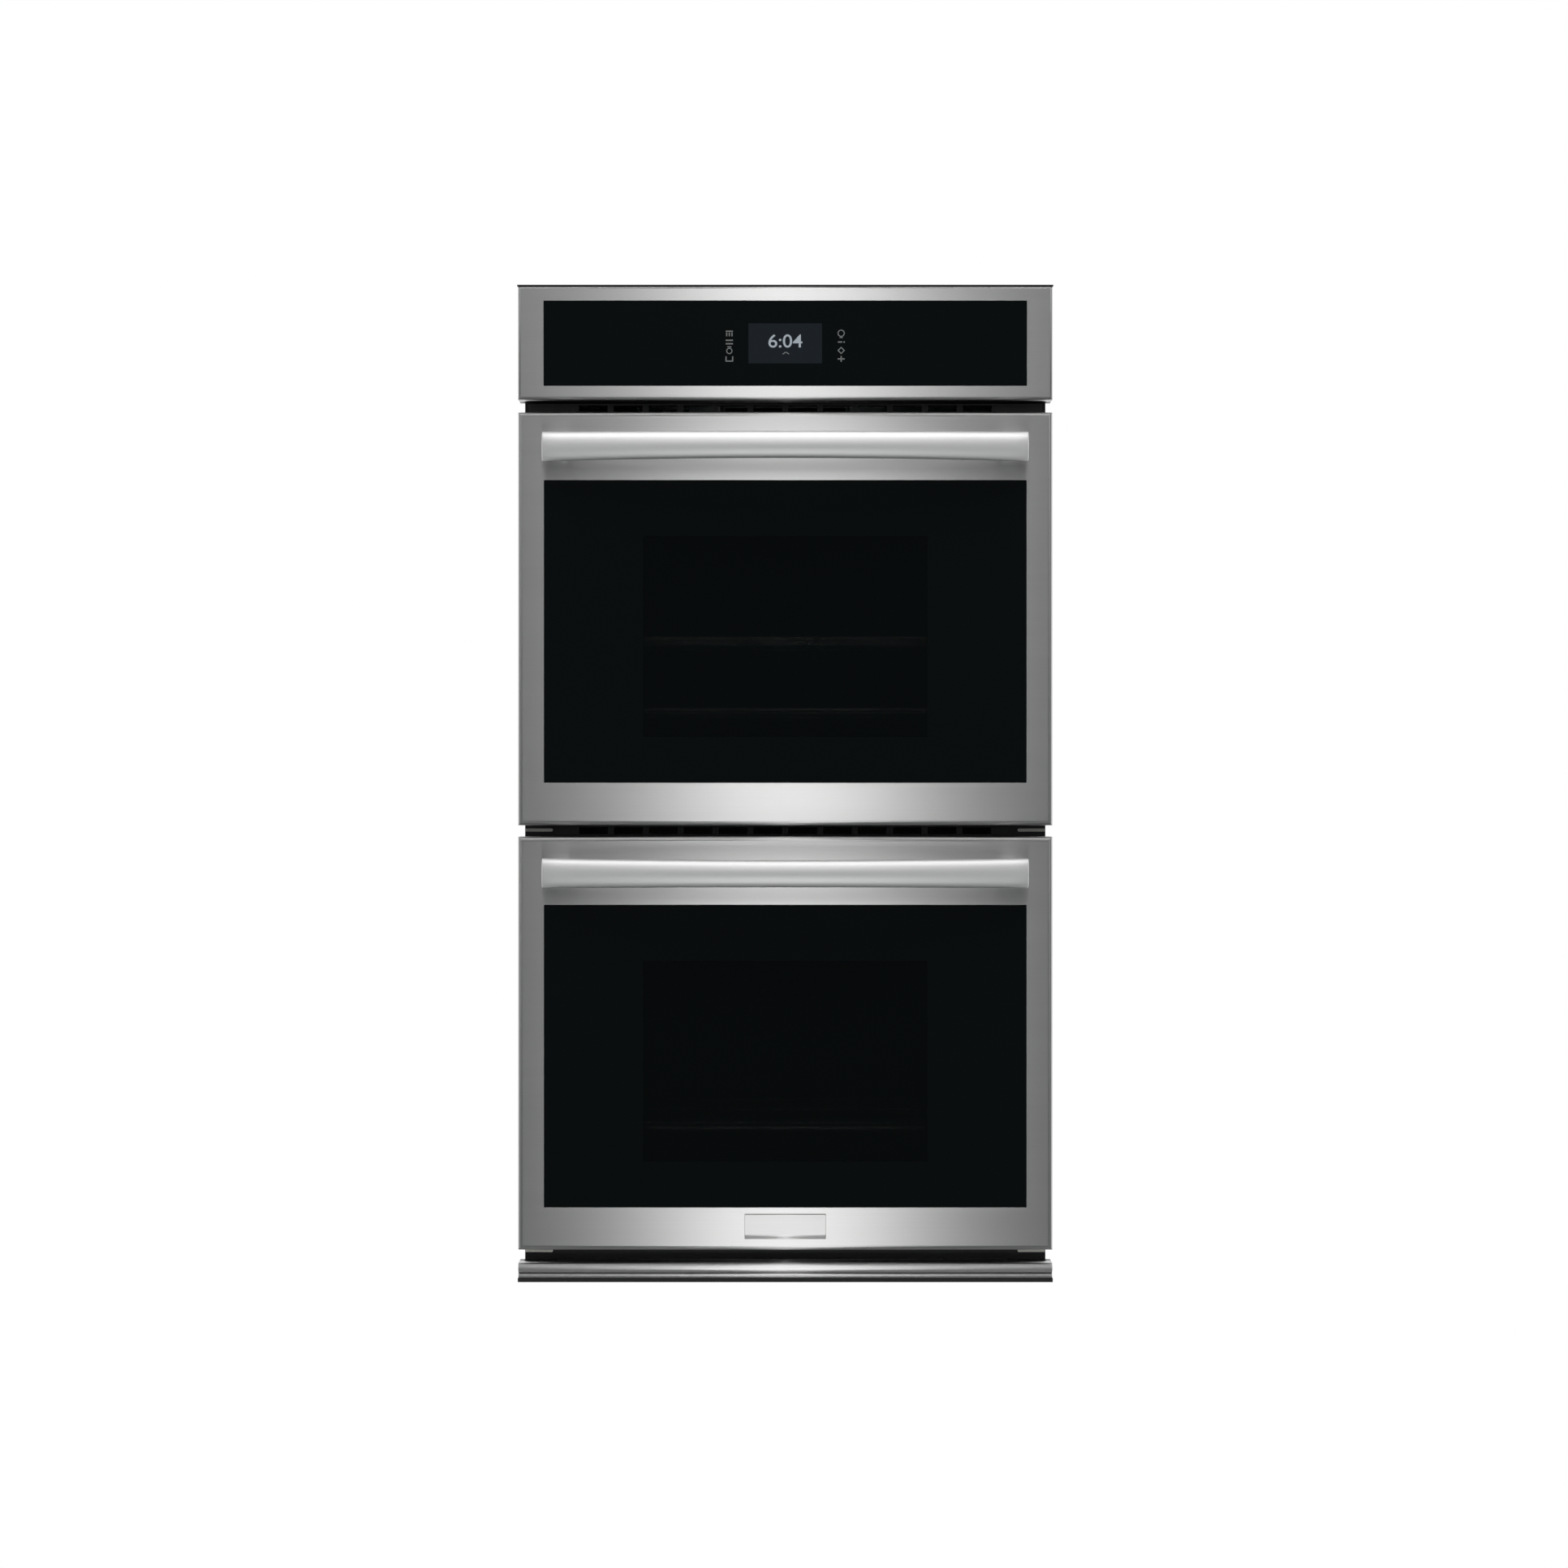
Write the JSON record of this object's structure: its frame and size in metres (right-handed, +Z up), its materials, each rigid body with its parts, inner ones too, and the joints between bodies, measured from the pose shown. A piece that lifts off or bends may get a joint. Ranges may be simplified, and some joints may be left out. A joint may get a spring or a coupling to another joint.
{
  "type": "wall oven",
  "caption": "Built-in double wall oven with drop-down glass doors, bowed bar handles, wire racks and a touch control panel.",
  "frame": {"origin": "underside of the base, in the middle of the width, in the plane of the cabinet face", "axes": "+X to the right seen from the front, +Y back into the cabinet, +Z up"},
  "size_m": [0.6858, 0.7095, 1.277],
  "materials": {
    "stainless": "horizontally brushed",
    "satin_steel": "satin",
    "black_enamel": "semi-gloss enamel",
    "oven_enamel": "porcelain enamel",
    "galvanised": "matt zinc",
    "zinc_plate": "zinc plated",
    "chrome_wire": "bright",
    "black_glass": "polished",
    "clear_glass": "polished",
    "wool": "matt",
    "gasket": "woven",
    "black_plastic": "matt",
    "screen": "gloss",
    "circuit": "gloss",
    "heater": "dark oxide",
    "white_plastic": "matt"
  },
  "bodies": {
    "chassis": {"base_pan": "galvanised", "side_panels": "galvanised", "rear_panel": "galvanised", "top_cover": "galvanised", "casing_screws": "zinc_plate", "cooling_decks": "galvanised", "oven_frame": "black_enamel", "panel_frame": "black_enamel", "vent_trims": "black_plastic", "bottom_trim": "stainless", "control_bezel": "stainless", "control_glass": "black_glass", "display_screen": "screen", "control_boards": "circuit", "upper_cavity": "oven_enamel", "lower_cavity": "oven_enamel", "cavity_insulation": "wool", "door_gaskets": "gasket", "rack_guides": "chrome_wire", "broil_elements": "heater", "bake_elements": "heater", "fan_covers": "oven_enamel", "convection_elements": "heater", "fan_motors": "zinc_plate", "oven_lamps": "clear_glass", "oven_sensors": "zinc_plate", "hinge_receivers": "zinc_plate", "hinge_arms": "zinc_plate", "latch_motors": "zinc_plate", "light_switches": "white_plastic", "blower_housing": "galvanised", "blower_motor": "zinc_plate", "junction_box": "galvanised"},
    "upper_door": {"upper_door_skin": "stainless", "upper_door_glass": "black_glass", "upper_door_liner": "oven_enamel", "upper_inner_glass": "clear_glass", "upper_handle": "satin_steel", "upper_hinge_channels": "zinc_plate", "upper_hinge_springs": "zinc_plate"},
    "upper_rods": {"upper_hinge_rods": "zinc_plate"},
    "upper_fan": {"upper_fan": "galvanised"},
    "upper_latch": {"upper_latch_hook": "zinc_plate"},
    "upper_plunger": {"upper_switch_plunger": "white_plastic"},
    "lower_door": {"lower_door_skin": "stainless", "lower_door_glass": "black_glass", "lower_door_liner": "oven_enamel", "lower_inner_glass": "clear_glass", "lower_handle": "satin_steel", "lower_hinge_channels": "zinc_plate", "lower_hinge_springs": "zinc_plate", "badge_plate": "satin_steel"},
    "lower_rods": {"lower_hinge_rods": "zinc_plate"},
    "lower_fan": {"lower_fan": "galvanised"},
    "lower_latch": {"lower_latch_hook": "zinc_plate"},
    "lower_plunger": {"lower_switch_plunger": "white_plastic"},
    "upper_rack_low_body": {"upper_rack_low": "chrome_wire"},
    "upper_rack_high_body": {"upper_rack_high": "chrome_wire"},
    "lower_rack_body": {"lower_rack": "chrome_wire"},
    "blower_rotor": {"blower_wheel": "galvanised"}
  },
  "joints": [
    {"name": "upper_door_hinge", "type": "hinge", "parent": "chassis", "child": "upper_door", "pos_m": [0, -0.024, 0.5995], "axis": [1, 0, 0], "range_deg": [0, 90]},
    {"name": "upper_rods_slide", "type": "slide", "parent": "upper_door", "child": "upper_rods", "axis": [0, 0, -1], "range_m": [0, 0.011], "deforming": ["upper_hinge_springs"]},
    {"name": "upper_plunger_slide", "type": "slide", "parent": "chassis", "child": "upper_plunger", "axis": [0, -1, 0], "range_m": [0, 0.004]},
    {"name": "upper_latch_turn", "type": "hinge", "parent": "chassis", "child": "upper_latch", "pos_m": [0, 0.012, 1.0865], "axis": [0, 0, 1], "range_deg": [0, 20]},
    {"name": "upper_fan_spin", "type": "hinge", "parent": "chassis", "child": "upper_fan", "pos_m": [0, 0.462, 0.8475], "axis": [0, 1, 0], "continuous": true},
    {"name": "lower_door_hinge", "type": "hinge", "parent": "chassis", "child": "lower_door", "pos_m": [0, -0.024, 0.0565], "axis": [1, 0, 0], "range_deg": [0, 90]},
    {"name": "lower_rods_slide", "type": "slide", "parent": "lower_door", "child": "lower_rods", "axis": [0, 0, -1], "range_m": [0, 0.011], "deforming": ["lower_hinge_springs"]},
    {"name": "lower_plunger_slide", "type": "slide", "parent": "chassis", "child": "lower_plunger", "axis": [0, -1, 0], "range_m": [0, 0.004]},
    {"name": "lower_latch_turn", "type": "hinge", "parent": "chassis", "child": "lower_latch", "pos_m": [0, 0.012, 0.5435], "axis": [0, 0, 1], "range_deg": [0, 20]},
    {"name": "lower_fan_spin", "type": "hinge", "parent": "chassis", "child": "lower_fan", "pos_m": [0, 0.462, 0.3045], "axis": [0, 1, 0], "continuous": true},
    {"name": "upper_rack_low_slide", "type": "slide", "parent": "chassis", "child": "upper_rack_low_body", "axis": [0, -1, 0], "range_m": [0, 0.25]},
    {"name": "upper_rack_high_slide", "type": "slide", "parent": "chassis", "child": "upper_rack_high_body", "axis": [0, -1, 0], "range_m": [0, 0.25]},
    {"name": "lower_rack_slide", "type": "slide", "parent": "chassis", "child": "lower_rack_body", "axis": [0, -1, 0], "range_m": [0, 0.25]},
    {"name": "blower_spin", "type": "hinge", "parent": "chassis", "child": "blower_rotor", "pos_m": [0, 0.45, 1.125], "axis": [0, 0, 1], "continuous": true}
  ],
  "couplings": [
    {"joint": "upper_rods_slide", "follows": "upper_door_hinge", "m_per_rad": 0.0070027},
    {"joint": "upper_plunger_slide", "follows": "upper_door_hinge", "m_per_rad": 0.0025464},
    {"joint": "lower_rods_slide", "follows": "lower_door_hinge", "m_per_rad": 0.0070027},
    {"joint": "lower_plunger_slide", "follows": "lower_door_hinge", "m_per_rad": 0.0025464},
    {"joint": "upper_rack_low_slide", "follows": "upper_door_hinge", "m_per_rad": 0.15915},
    {"joint": "upper_rack_high_slide", "follows": "upper_door_hinge", "m_per_rad": 0.15915},
    {"joint": "lower_rack_slide", "follows": "lower_door_hinge", "m_per_rad": 0.15915}
  ]
}
